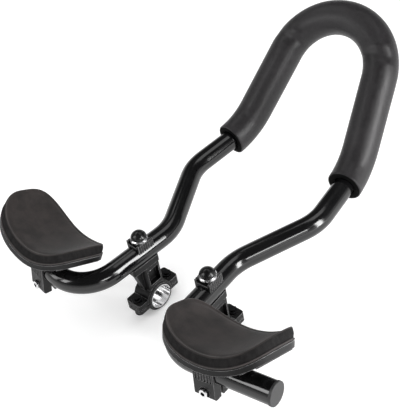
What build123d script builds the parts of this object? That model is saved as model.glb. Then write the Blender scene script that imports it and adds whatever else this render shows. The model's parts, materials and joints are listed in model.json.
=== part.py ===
from build123d import *
from math import atan2, cos, degrees, pi, radians, sin, sqrt, tan
import os

# Aero handlebar extension: a bent bar with a foam loop, two risers that clamp a base bar, two arm rests.
# Millimetres. The origin is on the base bar's axis, midway between the two clamp rings.
# +X is the rider's right, +Y is forward, +Z is up. The right side is modelled and mirrored.

# Bar tube
bar_od = 22.2
bar_wall = 2.0

# Corners of the bar's route on the right side: sideways, ahead of the base bar's axis, above it
loop_half = 52.8
loop_ahead = 307.0
loop_above = 181.5
crook_half = 74.3
crook_ahead = 201.5
crook_above = 74.5
shoulder_half = 83.5
shoulder_ahead = 122.0
shoulder_above = 68.6
waist_half = 43.6
waist_ahead = 40.0
elbow_half = 52.4
elbow_ahead = -80.5
tip_half = 175.5
tip_ahead = -63.8
tip_above = 67.9
bar_rise = 60.0

# Bends of the bar, from the loop's crook to the elbow, and the flat left at the loop's top
crook_radius = 72.0
shoulder_radius = 49.0
waist_radius = 53.0
elbow_radius = 39.5
loop_flat = 0.4

# Foam grip
foam_od = 37.2
foam_bore_clearance = 0.1
foam_end_up_bend = 5.5
foam_lead = 1.6
foam_end_round = 1.2
foam_round_share = 0.8

# End plugs
plug_head_proud = 0.4
plug_head_thickness = 2.6
plug_head_round = 0.8
plug_spigot_length = 14.0
plug_spigot_clearance = 0.1
plug_spigot_wall = 1.8

# Base bar clamp ring and its shim
base_bar_diameter = 25.4
shim_wall = 0.8
shim_proud = 0.4
shim_slit = 2.0
ring_wall = 3.8
ring_width = 24.0
ring_edge = 1.6
split_gap = 1.5

# Clamp ears and their fasteners
ear_width = 21.0
ear_top = 6.6
ear_bottom = 5.2
ear_beyond_bolt = 6.4
ear_corner = 3.0
clamp_bolt_diameter = 6.0
clamp_bolt_head_diameter = 11.2
clamp_bolt_head_gap = 0.4
clamp_bolt_head_height = 7.2
clamp_bolt_head_round = 1.4
clamp_socket_flats = 5.0
clamp_socket_depth = 2.2
clamp_nut_flats = 10.0
clamp_nut_height = 5.0
clamp_nut_seat = 3.6
clamp_bolt_past_nut = 1.8
bolt_hole_clearance = 0.3
nut_pocket_clearance = 0.15
thread_clearance = 0.05
hexagon_half_angle = 30.0

# Riser column and cradle
column_width = 20.0
column_depth = 20.0
column_corner = 1.5
pocket_depth = 6.0
pocket_frame = 2.6
pocket_top_below_cradle = 5.0
pocket_bottom_above_ring = 3.0
pocket_corner = 1.0
cradle_width = 20.5
cradle_floor = 3.8
cradle_side = 4.2
cradle_front = 11.5
cradle_rear = 22.5
cradle_corner = 2.0
gusset_thickness = 7.0
gusset_rear_inset = 3.0

# Saddle clip, its bolt, washer, nut and dome cap
clip_length = 19.4
clip_width = 18.4
clip_wall = 2.3
clip_floor = 2.0
clip_wall_height = 3.6
clip_wrap = 5.5
clip_rib_count = 7
clip_rib_groove = 1.1
clip_rib_depth = 0.5
saddle_bolt_diameter = 6.0
saddle_head_flats = 10.0
saddle_head_height = 4.0
washer_diameter = 18.0
washer_thickness = 2.8
washer_edge = 0.9
saddle_nut_height = 5.0
saddle_nut_below_cradle = 6.0
saddle_bolt_past_nut = 2.0
dome_diameter = 15.8
dome_height = 7.4
dome_skirt = 2.2
dome_socket_clearance = 0.1

# Arm rests: the clamp's place on the turned-out end, then the cup's turns and shifts from it
cup_inset = 64.3
cup_yaw = 3.0
cup_tilt = 10.5
cup_turn = 16.8
cup_cant = 5.4
cup_shift = 12.6
cup_forward = 2.7
cup_clamp_width = 21.8
cup_clamp_depth = 26.0
cup_clamp_clearance = 0.1
bend_relief = 1.0
lug_bottom = 25.3
lug_corner = 4.0
lug_slot = 3.6
lug_slot_back = 1.6
cup_bolt_below_axis = 18.4
cup_bolt_diameter = 5.0
cup_bolt_head_diameter = 8.5
cup_bolt_head_height = 5.0
cup_bolt_head_round = 0.8
cup_bolt_head_room = 1.2
cup_bolt_head_sunk = 2.0
cup_bolt_past_nut = 1.5
cup_socket_flats = 4.0
cup_socket_depth = 2.5
cup_nut_flats = 8.0
cup_nut_height = 4.0
cup_nut_sunk = 3.0
neck_flute_count = 6
neck_flute_radius = 0.9
neck_flute_bottom = -6.0

# Pad, its patch and the cup's trough
pad_half_length = 55.4
pad_rear_depth = 34.8
pad_front_depth = 42.6
pad_rear_power = 3.1
pad_front_power = 3.2
pad_thickness = 10.0
trough_radius = 72.0
patch_thickness = 1.0
patch_inset = 12.0
cup_plate = 2.6
cup_plate_over_bar = 1.4
cup_margin = 1.0
skirt_height = 5.0
skirt_wall = 2.2
cup_rib_thickness = 2.4
cup_rib_pitch = 11.0
cup_rib_pairs = 4
cup_rib_below_skirt = 0.8
cup_rib_inset = 0.5
cup_rib_arch = 90.0
outline_points = 36

# Sizes that follow from the above
bar_radius = bar_od / 2
shim_bore = base_bar_diameter / 2
ring_bore = shim_bore + shim_wall
ring_radius = ring_bore + ring_wall
ear_bolt_offset = sqrt(ring_radius**2 - ear_bottom**2) + clamp_bolt_head_diameter / 2 + clamp_bolt_head_gap
loop_corner = Vector(loop_half, loop_ahead, loop_above)
crook_corner = Vector(crook_half, crook_ahead, crook_above)
shoulder_corner = Vector(shoulder_half, shoulder_ahead, shoulder_above)
waist_corner = Vector(waist_half, waist_ahead, bar_rise)
elbow_corner = Vector(elbow_half, elbow_ahead, bar_rise)
tip_end = Vector(tip_half, tip_ahead, tip_above)
riser_run = elbow_corner - waist_corner
riser_x = waist_corner.X - riser_run.X * waist_corner.Y / riser_run.Y
riser_yaw = degrees(atan2(riser_run.X, -riser_run.Y))
flare = (tip_end - elbow_corner).normalized()


def mirrored(point):
    """The same point on the left side."""
    return Vector(-point.X, point.Y, point.Z)


def span(from_corner):
    """Right-hand corners up to the loop, then the left-hand ones back down."""
    return from_corner + [mirrored(point) for point in reversed(from_corner)]


def half_turn(before, corner, after):
    """Tangent of half the angle by which the route turns at a corner."""
    return tan(radians((corner - before).get_angle(after - corner)) / 2)


def loop_bend():
    """Radius that makes the loop one round bend, with a short flat in the middle."""
    return (loop_half - loop_flat / 2) / half_turn(mirrored(loop_corner), loop_corner, crook_corner)


def hexagon(flats, height):
    """A hexagonal prism standing on its base, flats facing X."""
    return extrude(RegularPolygon(flats / 2, 6, major_radius=False, rotation=hexagon_half_angle), height)


def rod(radius, bottom, top):
    """A cylinder along Z between two heights."""
    return Pos(0, 0, bottom) * Cylinder(radius, top - bottom, align=(Align.CENTER, Align.CENTER, Align.MIN))


def block(width, depth, bottom, top):
    """A box centred on Z between two heights."""
    return Pos(0, 0, bottom) * Box(width, depth, top - bottom, align=(Align.CENTER, Align.CENTER, Align.MIN))


def rounded_block(width, depth, bottom, top, corner):
    """A box with rounded upright edges."""
    return Pos(0, 0, bottom) * extrude(RectangleRounded(width, depth, corner), top - bottom)


def along_bar(radius, length):
    """A cylinder on the bar's axis where the riser holds it, in the riser's own frame."""
    return Pos(0, 0, bar_rise) * Rot(0, 0, riser_yaw) * Rot(90, 0, 0) * Cylinder(radius, length)


def bar_sweep(radii, corners, bends):
    """A round section swept along straight runs and tangent bends."""
    route = FilletPolyline(*corners, radius=bends)
    section = Circle(radii[0]) - Circle(radii[1]) if radii[1] else Circle(radii[0])
    return sweep(Plane(origin=route @ 0, z_dir=route % 0) * section, path=route)


def at_riser(shape):
    """From the riser's own frame to the right-hand riser's place."""
    return Pos(riser_x, 0, 0) * shape


# Bar and grip


def bar_tube():
    """The whole bent tube, drilled for the two saddle bolts."""
    right = [tip_end, elbow_corner, waist_corner, shoulder_corner, crook_corner, loop_corner]
    bends = [elbow_radius, waist_radius, shoulder_radius, crook_radius, loop_bend()]
    tube = bar_sweep((bar_radius, bar_radius - bar_wall), span(right), bends + bends[::-1])
    hole = rod(saddle_bolt_diameter / 2 + bolt_hole_clearance, bar_rise - bar_od, bar_rise + bar_od)
    return tube - at_riser(hole) - Pos(-riser_x, 0, 0) * hole


def foam_start():
    """The grip's lower end, a little way up the crook's bend, and the corner of the bend above it."""
    down = (crook_corner - loop_corner).normalized()
    run = (shoulder_corner - crook_corner).normalized()
    across = (run - down * run.dot(down)).normalized()
    turn = radians(down.get_angle(run))
    bend_top = crook_corner - down * crook_radius * tan(turn / 2)
    turn -= foam_end_up_bend / crook_radius
    reach = crook_radius * tan(turn / 2)
    corner = bend_top + down * reach
    return corner + (down * cos(turn) + across * sin(turn)) * (reach + foam_lead), corner


def foam_grip():
    """Foam sleeve over the loop, with rounded ends."""
    right = [*foam_start(), loop_corner]
    bends = [crook_radius, loop_bend()]
    sleeve = bar_sweep((foam_od / 2, bar_radius + foam_bore_clearance), span(right), bends + bends[::-1])
    rims = [
        edge
        for edge in sleeve.edges().filter_by(GeomType.CIRCLE)
        if edge.is_closed and abs(edge.radius - foam_od / 2) < foam_bore_clearance
    ]
    ends = [edge for edge in rims if abs(edge.arc_center.Z - right[0].Z) < foam_bore_clearance]
    return fillet(ends, min(foam_end_round, foam_lead * foam_round_share))


def end_plug():
    """Push-in plug: a flat head with a rounded rim and a hollow spigot."""
    head_radius = bar_radius + plug_head_proud
    spigot_radius = bar_radius - bar_wall - plug_spigot_clearance
    head = rod(head_radius, 0, plug_head_thickness)
    head = fillet(head.edges().group_by(Axis.Z)[-1], plug_head_round)
    spigot = rod(spigot_radius, -plug_spigot_length, 0)
    hollow = rod(spigot_radius - plug_spigot_wall, -plug_spigot_length, 0)
    return Plane(origin=tip_end, z_dir=flare) * (head + (spigot - hollow))


# Riser


def ring_half(side):
    """Half of the clamp ring, above (1) or below (-1) the split, with bevelled rims, before its bore."""
    ring = Rot(0, 90, 0) * Cylinder(ring_radius, ring_width)
    ring = chamfer(ring.edges().filter_by(GeomType.CIRCLE), ring_edge)
    half = block(ring_width, 2 * ring_radius, 0, ring_radius)
    half = half if side > 0 else Rot(180, 0, 0) * half
    return ring & (Pos(0, 0, side * split_gap / 2) * half)


def ear_pair(bottom, top):
    """Fore and aft ears in one slab, with rounded corners."""
    return rounded_block(ear_width, 2 * (ear_bolt_offset + ear_beyond_bolt), bottom, top, ear_corner)


def ear_holes():
    """Clearance holes of the two clamp bolts."""
    hole = rod(clamp_bolt_diameter / 2 + bolt_hole_clearance, -ring_radius, ring_radius)
    return [Pos(0, side * ear_bolt_offset, 0) * hole for side in (-1, 1)]


def ring_opening():
    """The clamp ring's bore, right through."""
    return Rot(0, 90, 0) * Cylinder(ring_bore, 2 * ring_width)


cradle_bottom = bar_rise - bar_radius - cradle_floor
cradle_top = bar_rise - bar_radius + cradle_side
saddle_nut_top = cradle_bottom - saddle_nut_below_cradle


def cradle():
    """Slab under the bar, longer behind the column, turned to lie along the bar."""
    slab = rounded_block(cradle_width, cradle_front + cradle_rear, cradle_bottom, cradle_top, cradle_corner)
    return Rot(0, 0, riser_yaw) * Pos(0, (cradle_front - cradle_rear) / 2, 0) * slab


def rear_gusset():
    """Sloping web under the cradle's rear tongue, down the column's back."""
    foot = (-column_depth / 2, ear_top)
    back = (-cradle_rear + gusset_rear_inset, cradle_bottom)
    side = Plane.YZ * make_face(Polyline(foot, back, (0, cradle_bottom), (0, ear_top), close=True))
    return extrude(side, gusset_thickness / 2, both=True)


def column_pocket():
    """One side pocket of the column, framed all round, on the +X face."""
    bottom = ring_radius + pocket_bottom_above_ring
    top = cradle_bottom - pocket_top_below_cradle
    depth = column_depth - 2 * pocket_frame
    opening = Plane(origin=(column_width / 2, 0, (bottom + top) / 2), x_dir=(0, 1, 0), z_dir=(1, 0, 0))
    return extrude(opening * RectangleRounded(depth, top - bottom, pocket_corner), -pocket_depth)


def bracket_body():
    """Riser: cradle, pocketed column, upper half ring and ears, bored for bar, bolts and nuts."""
    column = rounded_block(column_width, column_depth, split_gap / 2, cradle_bottom, column_corner)
    body = column + ring_half(1) + ear_pair(split_gap / 2, ear_top) + cradle() + rear_gusset()
    body -= ring_opening()
    body -= along_bar(bar_radius, 4 * cradle_rear)
    body -= [column_pocket(), Rot(0, 0, 180) * column_pocket()]
    body -= ear_holes()
    seat = hexagon(clamp_nut_flats + 2 * nut_pocket_clearance, ring_radius)
    body -= [Pos(0, side * ear_bolt_offset, clamp_nut_seat) * seat for side in (-1, 1)]
    shank = rod(saddle_bolt_diameter / 2 + bolt_hole_clearance, saddle_bolt_end(), bar_rise)
    slot_flats = saddle_head_flats + 2 * nut_pocket_clearance
    slot = block(column_width, slot_flats, saddle_nut_top - saddle_nut_height, saddle_nut_top)
    return body - shank - slot


def bracket_cap():
    """Lower half ring with its two ears."""
    cap = ring_half(-1) + ear_pair(-ear_bottom, -split_gap / 2)
    return cap - ring_opening() - ear_holes()


def bar_shim():
    """Bright sleeve in the clamp ring, slit at the front."""
    sleeve = Cylinder(ring_bore, ring_width + 2 * shim_proud) - Cylinder(shim_bore, 2 * ring_width)
    slit = Pos(0, ring_bore, 0) * Box(2 * ring_width, 2 * ring_bore, shim_slit)
    return Rot(0, 90, 0) * sleeve - slit


def clamp_bolt():
    """Round-headed bolt from below, on the Z axis, with a hexagon socket."""
    shank = rod(clamp_bolt_diameter / 2, -ear_bottom, clamp_nut_seat + clamp_nut_height + clamp_bolt_past_nut)
    head = rod(clamp_bolt_head_diameter / 2, -ear_bottom - clamp_bolt_head_height, -ear_bottom)
    head = fillet(head.edges().group_by(Axis.Z)[0], clamp_bolt_head_round)
    socket = Pos(0, 0, -ear_bottom - clamp_bolt_head_height) * hexagon(clamp_socket_flats, clamp_socket_depth)
    return head + shank - socket


def clamp_nut():
    """Hexagon nut in the ear's pocket, on the Z axis."""
    nut = Pos(0, 0, clamp_nut_seat) * hexagon(clamp_nut_flats, clamp_nut_height)
    return nut - rod(clamp_bolt_diameter / 2 + thread_clearance, -ring_radius, ring_radius)


# Saddle clip and its bolt

clip_floor_top = bar_rise + bar_radius + clip_floor
clip_top = clip_floor_top + clip_wall_height
washer_top = clip_top + washer_thickness


def saddle_clip():
    """Channel clip on top of the bar: hollowed underneath, with ribbed outer walls."""
    body = block(clip_width, clip_length, bar_rise + bar_radius - clip_wrap, clip_top)
    channel = block(clip_width - 2 * clip_wall, 2 * clip_length, clip_floor_top, clip_top)
    body -= channel
    pitch = clip_length / clip_rib_count
    groove = block(2 * clip_rib_depth, clip_rib_groove, bar_rise, clip_top)
    for index in range(clip_rib_count):
        place = (index + 0.5) * pitch - clip_length / 2
        body -= [Pos(side * clip_width / 2, place, 0) * groove for side in (-1, 1)]
    body -= rod(saddle_bolt_diameter / 2 + bolt_hole_clearance, bar_rise, clip_top)
    return Rot(0, 0, riser_yaw) * body - along_bar(bar_radius, 4 * clip_length)


def saddle_washer():
    """Bright washer across the clip's walls."""
    disc = rod(washer_diameter / 2, clip_top, washer_top)
    disc = chamfer(disc.edges().group_by(Axis.Z)[-1], washer_edge)
    return disc - rod(saddle_bolt_diameter / 2 + bolt_hole_clearance, clip_top, washer_top)


def saddle_bolt_end():
    """Height of the saddle bolt's lower end."""
    return saddle_nut_top - saddle_nut_height - saddle_bolt_past_nut


def saddle_bolt():
    """Hexagon bolt from the washer down through clip, bar and riser."""
    head = Pos(0, 0, washer_top) * hexagon(saddle_head_flats, saddle_head_height)
    return head + rod(saddle_bolt_diameter / 2, saddle_bolt_end(), washer_top)


def saddle_nut():
    """Nut in the slot at the top of the column's pockets."""
    nut = Pos(0, 0, saddle_nut_top - saddle_nut_height) * Rot(0, 0, 90) * hexagon(saddle_head_flats, saddle_nut_height)
    return nut - rod(saddle_bolt_diameter / 2 + thread_clearance, 0, bar_rise)


def dome_cap():
    """Black cap over the bolt's head: a short skirt, a crowned top and a round socket inside."""
    radius = dome_diameter / 2
    crown = dome_height - dome_skirt
    ball = (radius**2 + crown**2) / (2 * crown)
    skirt = rod(radius, washer_top, washer_top + dome_height)
    cap = skirt & (Pos(0, 0, washer_top + dome_height - ball) * Sphere(ball))
    corner_radius = saddle_head_flats / 2 / cos(radians(hexagon_half_angle))
    return cap - rod(corner_radius + dome_socket_clearance, washer_top, washer_top + saddle_head_height)


# Arm rest: its clamp has X along the tube outwards and Z towards the cup, which is turned from it


def clamp_frame():
    """Frame of the right arm rest's clamp, on the turned-out end's axis and tilted about it."""
    upright = Vector(0, 0, 1) - flare * flare.Z
    level = Plane(origin=tip_end - flare * cup_inset, x_dir=flare, z_dir=upright)
    return level.location * Rot(-cup_tilt, 0, 0)


def cup_turned(shape):
    """From the cup's own frame to the clamp's: shifted, canted, turned about the tube, then yawed."""
    return Rot(0, 0, -cup_yaw) * Rot(-cup_turn, 0, 0) * Rot(0, -cup_cant, 0) * Pos(cup_shift, cup_forward, 0) * shape


cup_top = bar_radius + cup_plate_over_bar + cup_plate
pad_top = cup_top + patch_thickness + pad_thickness
trough_height = pad_top + trough_radius
plate_top_depth = pad_thickness + patch_thickness
plate_bottom_depth = plate_top_depth + cup_plate
skirt_bottom_depth = plate_top_depth + skirt_height


def trough(depth):
    """A cylinder round the trough's axis whose wall lies at a depth under the pad's top."""
    length = 4 * (pad_rear_depth + pad_front_depth)
    return Pos(0, 0, trough_height) * Rot(90, 0, 0) * Cylinder(trough_radius + depth, length)


def pad_outline(inset):
    """Half-moon outline: two half superellipses, the deeper one at the front."""
    points = []
    for index in range(outline_points):
        angle = 2 * pi * index / outline_points
        along = cos(angle)
        across = sin(angle)
        power = pad_front_power if across > 0 else pad_rear_power
        depth = (pad_front_depth if across > 0 else pad_rear_depth) - inset
        size = (abs(along) ** power + abs(across) ** power) ** (-1 / power)
        points.append(((pad_half_length - inset) * along * size, depth * across * size))
    return make_face(Spline(*points, periodic=True))


def trough_prism(inset):
    """The outline's upright prism, up to the trough's axis."""
    return Pos(0, 0, -trough_radius) * extrude(pad_outline(inset), trough_height + trough_radius)


def trough_slice(inset, top, bottom):
    """The outline's prism between two depths under the pad's top."""
    return (trough_prism(inset) & trough(bottom)) - trough(top)


def cup_ribs():
    """Ribs fore and aft under the plate, with arched bottoms that show below the skirt."""
    bars = []
    for index in range(cup_rib_pairs):
        place = cup_clamp_width / 2 + (index + 0.5) * cup_rib_pitch
        bar = block(cup_rib_thickness, 2 * (pad_rear_depth + pad_front_depth), -trough_radius, trough_height)
        bars += [Pos(side * place, 0, 0) * bar for side in (-1, 1)]
    bottom = pad_top - skirt_bottom_depth - cup_rib_below_skirt
    length = 4 * (pad_rear_depth + pad_front_depth)
    arch = Pos(0, 0, bottom + cup_rib_arch) * Rot(90, 0, 0) * Cylinder(cup_rib_arch, length)
    below_plate = trough_prism(cup_rib_inset) - trough(plate_bottom_depth - cup_plate / 2)
    return below_plate & arch & Part() + bars


def cup_shell():
    """Trough plate with a skirt round its rim and ribs beneath."""
    whole = trough_slice(-cup_margin, plate_top_depth, skirt_bottom_depth)
    hollow = trough_slice(skirt_wall - cup_margin, plate_bottom_depth, skirt_bottom_depth + skirt_wall)
    return cup_turned((whole - hollow) + cup_ribs())


def clamp_block():
    """Split clamp under the cup: a neck with flutes at the back, the bar's bore and two lugs."""
    side = Pos(0, (pad_top - lug_bottom) / 2) * RectangleRounded(cup_clamp_depth, pad_top + lug_bottom, lug_corner)
    neck = extrude(Plane.YZ * side, cup_clamp_width / 2, both=True)
    neck -= cup_turned(trough(plate_bottom_depth - cup_plate / 2))
    flute_pitch = cup_clamp_width / (neck_flute_count + 1)
    flute = rod(neck_flute_radius, neck_flute_bottom, pad_top)
    for index in range(neck_flute_count):
        place = (index + 1) * flute_pitch - cup_clamp_width / 2
        neck -= Pos(place, -cup_clamp_depth / 2, 0) * flute
    return neck


def cup_bolt_axis(shape):
    """From an upright fastener to the cup bolt's line, head towards the rear."""
    return Pos(0, 0, -cup_bolt_below_axis) * Rot(90, 0, 0) * shape


head_seat = cup_clamp_depth / 2 - cup_bolt_head_sunk
cup_nut_seat = -cup_clamp_depth / 2 + cup_nut_sunk


def arm_cup():
    """Cup shell on its clamp, clear of the bar's bend, bored for the bar, the bolt and the nut."""
    clamp = clamp_block() - Rot(0, 90, 0) * Cylinder(bar_radius + cup_clamp_clearance, 4 * cup_clamp_width)
    clamp -= Pos(0, -lug_slot_back, 0) * block(2 * cup_clamp_width, lug_slot, -lug_bottom, 0)
    hole = rod(cup_bolt_diameter / 2 + bolt_hole_clearance, -cup_clamp_depth, cup_clamp_depth)
    head_room = rod(cup_bolt_head_diameter / 2 + cup_bolt_head_room, head_seat, cup_clamp_depth)
    nut_flats = cup_nut_flats + 2 * nut_pocket_clearance
    nut_room = Pos(0, 0, -cup_clamp_depth) * hexagon(nut_flats, cup_clamp_depth + cup_nut_seat)
    clamp -= [cup_bolt_axis(cut) for cut in (hole, head_room, nut_room)]
    relief = bar_sweep((bar_radius + bend_relief, 0), [tip_end, elbow_corner, waist_corner], [elbow_radius])
    return (clamp_frame() * cup_shell() - relief) + clamp_frame() * clamp


def cup_bolt():
    """Socket-head bolt through both lugs, head at the back."""
    shank_end = cup_nut_seat - cup_nut_height - cup_bolt_past_nut
    bolt = rod(cup_bolt_head_diameter / 2, head_seat, head_seat + cup_bolt_head_height)
    bolt = fillet(bolt.edges().group_by(Axis.Z)[-1], cup_bolt_head_round)
    bolt += rod(cup_bolt_diameter / 2, shank_end, head_seat)
    socket_floor = head_seat + cup_bolt_head_height - cup_socket_depth
    bolt -= Pos(0, 0, socket_floor) * hexagon(cup_socket_flats, cup_socket_depth)
    return clamp_frame() * cup_bolt_axis(bolt)


def cup_nut():
    """Nut in the front lug's pocket."""
    nut = Pos(0, 0, cup_nut_seat - cup_nut_height) * hexagon(cup_nut_flats, cup_nut_height)
    nut -= rod(cup_bolt_diameter / 2 + thread_clearance, -cup_clamp_depth, cup_clamp_depth)
    return clamp_frame() * cup_bolt_axis(nut)


def pad_patch():
    """Hook-and-loop patch between cup and pad."""
    return clamp_frame() * cup_turned(trough_slice(patch_inset, pad_thickness, plate_top_depth))


def arm_pad():
    """Half-moon foam pad, bent to the trough."""
    return clamp_frame() * cup_turned(trough_slice(0, 0, pad_thickness))


def right_hand_pieces():
    """Every piece of the right side, in place."""
    pieces = {
        "end_plug": end_plug(),
        "bracket_body": at_riser(bracket_body()),
        "bracket_cap": at_riser(bracket_cap()),
        "bar_shim": at_riser(bar_shim()),
        "saddle_clip": at_riser(saddle_clip()),
        "saddle_washer": at_riser(saddle_washer()),
        "saddle_bolt": at_riser(saddle_bolt()),
        "saddle_nut": at_riser(saddle_nut()),
        "dome_cap": at_riser(dome_cap()),
        "arm_cup": arm_cup(),
        "pad_patch": pad_patch(),
        "arm_pad": arm_pad(),
        "cup_bolt": cup_bolt(),
        "cup_nut": cup_nut(),
    }
    for name, side in (("front", 1), ("rear", -1)):
        ear = Pos(0, side * ear_bolt_offset, 0)
        pieces[name + "_clamp_bolt"] = at_riser(ear * clamp_bolt())
        pieces[name + "_clamp_nut"] = at_riser(ear * clamp_nut())
    return pieces


def main():
    """Writes one file for each piece of the bar."""
    os.makedirs("parts", exist_ok=True)
    export_step(bar_tube(), "parts/bar_tube.step")
    export_step(foam_grip(), "parts/foam_grip.step")
    for name, shape in right_hand_pieces().items():
        export_step(shape, f"parts/right_{name}.step")
        export_step(mirror(shape, about=Plane.YZ), f"parts/left_{name}.step")


main()
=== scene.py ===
"""Looks of the aero handlebar extension: studio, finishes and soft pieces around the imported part.

Every length is in metres, in the part's own frame: X to the rider's right, Y forward, Z up.
"""

from __future__ import annotations

import json
import logging
import math
from dataclasses import dataclass, field
from enum import Enum
from typing import Any, Dict, List, Optional, Sequence, Tuple, Union

import bmesh
import bpy
from mathutils import Matrix, Vector

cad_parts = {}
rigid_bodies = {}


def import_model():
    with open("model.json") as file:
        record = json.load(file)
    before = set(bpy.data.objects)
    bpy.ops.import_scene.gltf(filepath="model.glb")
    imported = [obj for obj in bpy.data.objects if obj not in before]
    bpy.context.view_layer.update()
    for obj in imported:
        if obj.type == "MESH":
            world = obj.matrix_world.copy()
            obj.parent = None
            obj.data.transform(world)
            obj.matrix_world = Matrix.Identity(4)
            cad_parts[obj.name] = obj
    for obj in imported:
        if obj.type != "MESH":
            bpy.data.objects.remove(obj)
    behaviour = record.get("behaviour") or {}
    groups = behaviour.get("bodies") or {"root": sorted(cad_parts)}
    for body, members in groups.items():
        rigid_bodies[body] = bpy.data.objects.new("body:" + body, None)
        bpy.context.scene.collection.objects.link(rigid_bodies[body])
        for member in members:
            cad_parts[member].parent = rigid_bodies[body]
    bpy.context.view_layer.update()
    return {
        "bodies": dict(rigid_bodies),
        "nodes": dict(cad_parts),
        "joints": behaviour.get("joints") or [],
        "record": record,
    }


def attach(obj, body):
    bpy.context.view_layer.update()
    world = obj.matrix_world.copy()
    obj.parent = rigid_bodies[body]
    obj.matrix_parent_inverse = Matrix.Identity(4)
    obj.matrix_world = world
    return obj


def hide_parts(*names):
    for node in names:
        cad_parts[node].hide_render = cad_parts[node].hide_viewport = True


LOG = logging.getLogger("aero_bar")
WELD_DISTANCE = 0.000002
NO_TRAVEL = 0.00001
NOISE_MIDDLE = 0.5

Colour = Tuple[float, float, float]
Opaque = Tuple[float, float, float, float]
Place = Tuple[float, float, float]
Span = Tuple[float, ...]
Key = Union[str, int]
Value = Union["Sock", float, Sequence[float]]
Ring = List[bmesh.types.BMEdge]

EVEN: Place = (1.0, 1.0, 1.0)
WHITE: Colour = (1.0, 1.0, 1.0)
UP: Place = (0.0, 0.0, 1.0)


class Side(Enum):
    """The two mirrored halves of the bar."""

    LEFT = -1
    RIGHT = 1

    @property
    def word(self) -> str:
        """The prefix of this side's node names."""
        return self.name.lower()

    @property
    def mirror(self) -> Matrix:
        """Identity on the right, a reflection in the middle plane on the left."""
        return Matrix.Diagonal((float(self.value), 1.0, 1.0, 1.0))


class Sock:
    """One output socket, on which Python's operators add Math nodes."""

    def __init__(self, tree: "Tree", socket: bpy.types.NodeSocket) -> None:
        """Keeps the tree that new nodes go to and the wrapped socket."""
        self.tree = tree
        self.socket = socket

    def _math(self, operation: str, first: Value, second: Value) -> "Sock":
        """Adds one Math node."""
        return self.tree.node("Math", {"operation": operation}, {0: first, 1: second})[0]

    def __add__(self, other: Value) -> "Sock":
        """Sum."""
        return self._math("ADD", self, other)

    __radd__ = __add__

    def __sub__(self, other: Value) -> "Sock":
        """Difference."""
        return self._math("SUBTRACT", self, other)

    def __rsub__(self, other: Value) -> "Sock":
        """Difference from a number."""
        return self._math("SUBTRACT", other, self)

    def __mul__(self, other: Value) -> "Sock":
        """Product."""
        return self._math("MULTIPLY", self, other)

    __rmul__ = __mul__

    def larger(self, other: Value) -> "Sock":
        """The larger of the two."""
        return self._math("MAXIMUM", self, other)

    def swing(self, size: float) -> "Sock":
        """A noise's change about its middle, scaled."""
        return (self - NOISE_MIDDLE) * size

    def mixed(self, other: "Sock", share: float) -> "Sock":
        """This value's share plus the rest of the other one."""
        return self * share + other * (1.0 - share)

    def ramp(self, low: float, high: float, start: float = 0.0, end: float = 1.0) -> "Sock":
        """A smooth, clamped change of range.

        Args:
            low: Where the change starts.
            high: Where it ends.
            start: The value at low.
            end: The value at high.

        Returns:
            The changed value.
        """
        inputs = {"Value": self, "From Min": low, "From Max": high, "To Min": start, "To Max": end}
        return self.tree.node("MapRange", {"interpolation_type": "SMOOTHSTEP"}, inputs)["Result"]


class Made:
    """A node that was just made, whose outputs are read by name or number."""

    def __init__(self, tree: "Tree", node: bpy.types.Node) -> None:
        """Keeps the tree and the node."""
        self.tree = tree
        self.node = node

    def __getitem__(self, key: Key) -> Sock:
        """The output of that name or number."""
        return Sock(self.tree, self.node.outputs[key])


@dataclass(frozen=True)
class Noise:
    """One noise pattern: features per metre, octaves, weight of the finer ones, scale along each axis."""

    scale: float
    detail: float = 2.0
    rough: float = 0.5
    stretch: Place = EVEN


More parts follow.
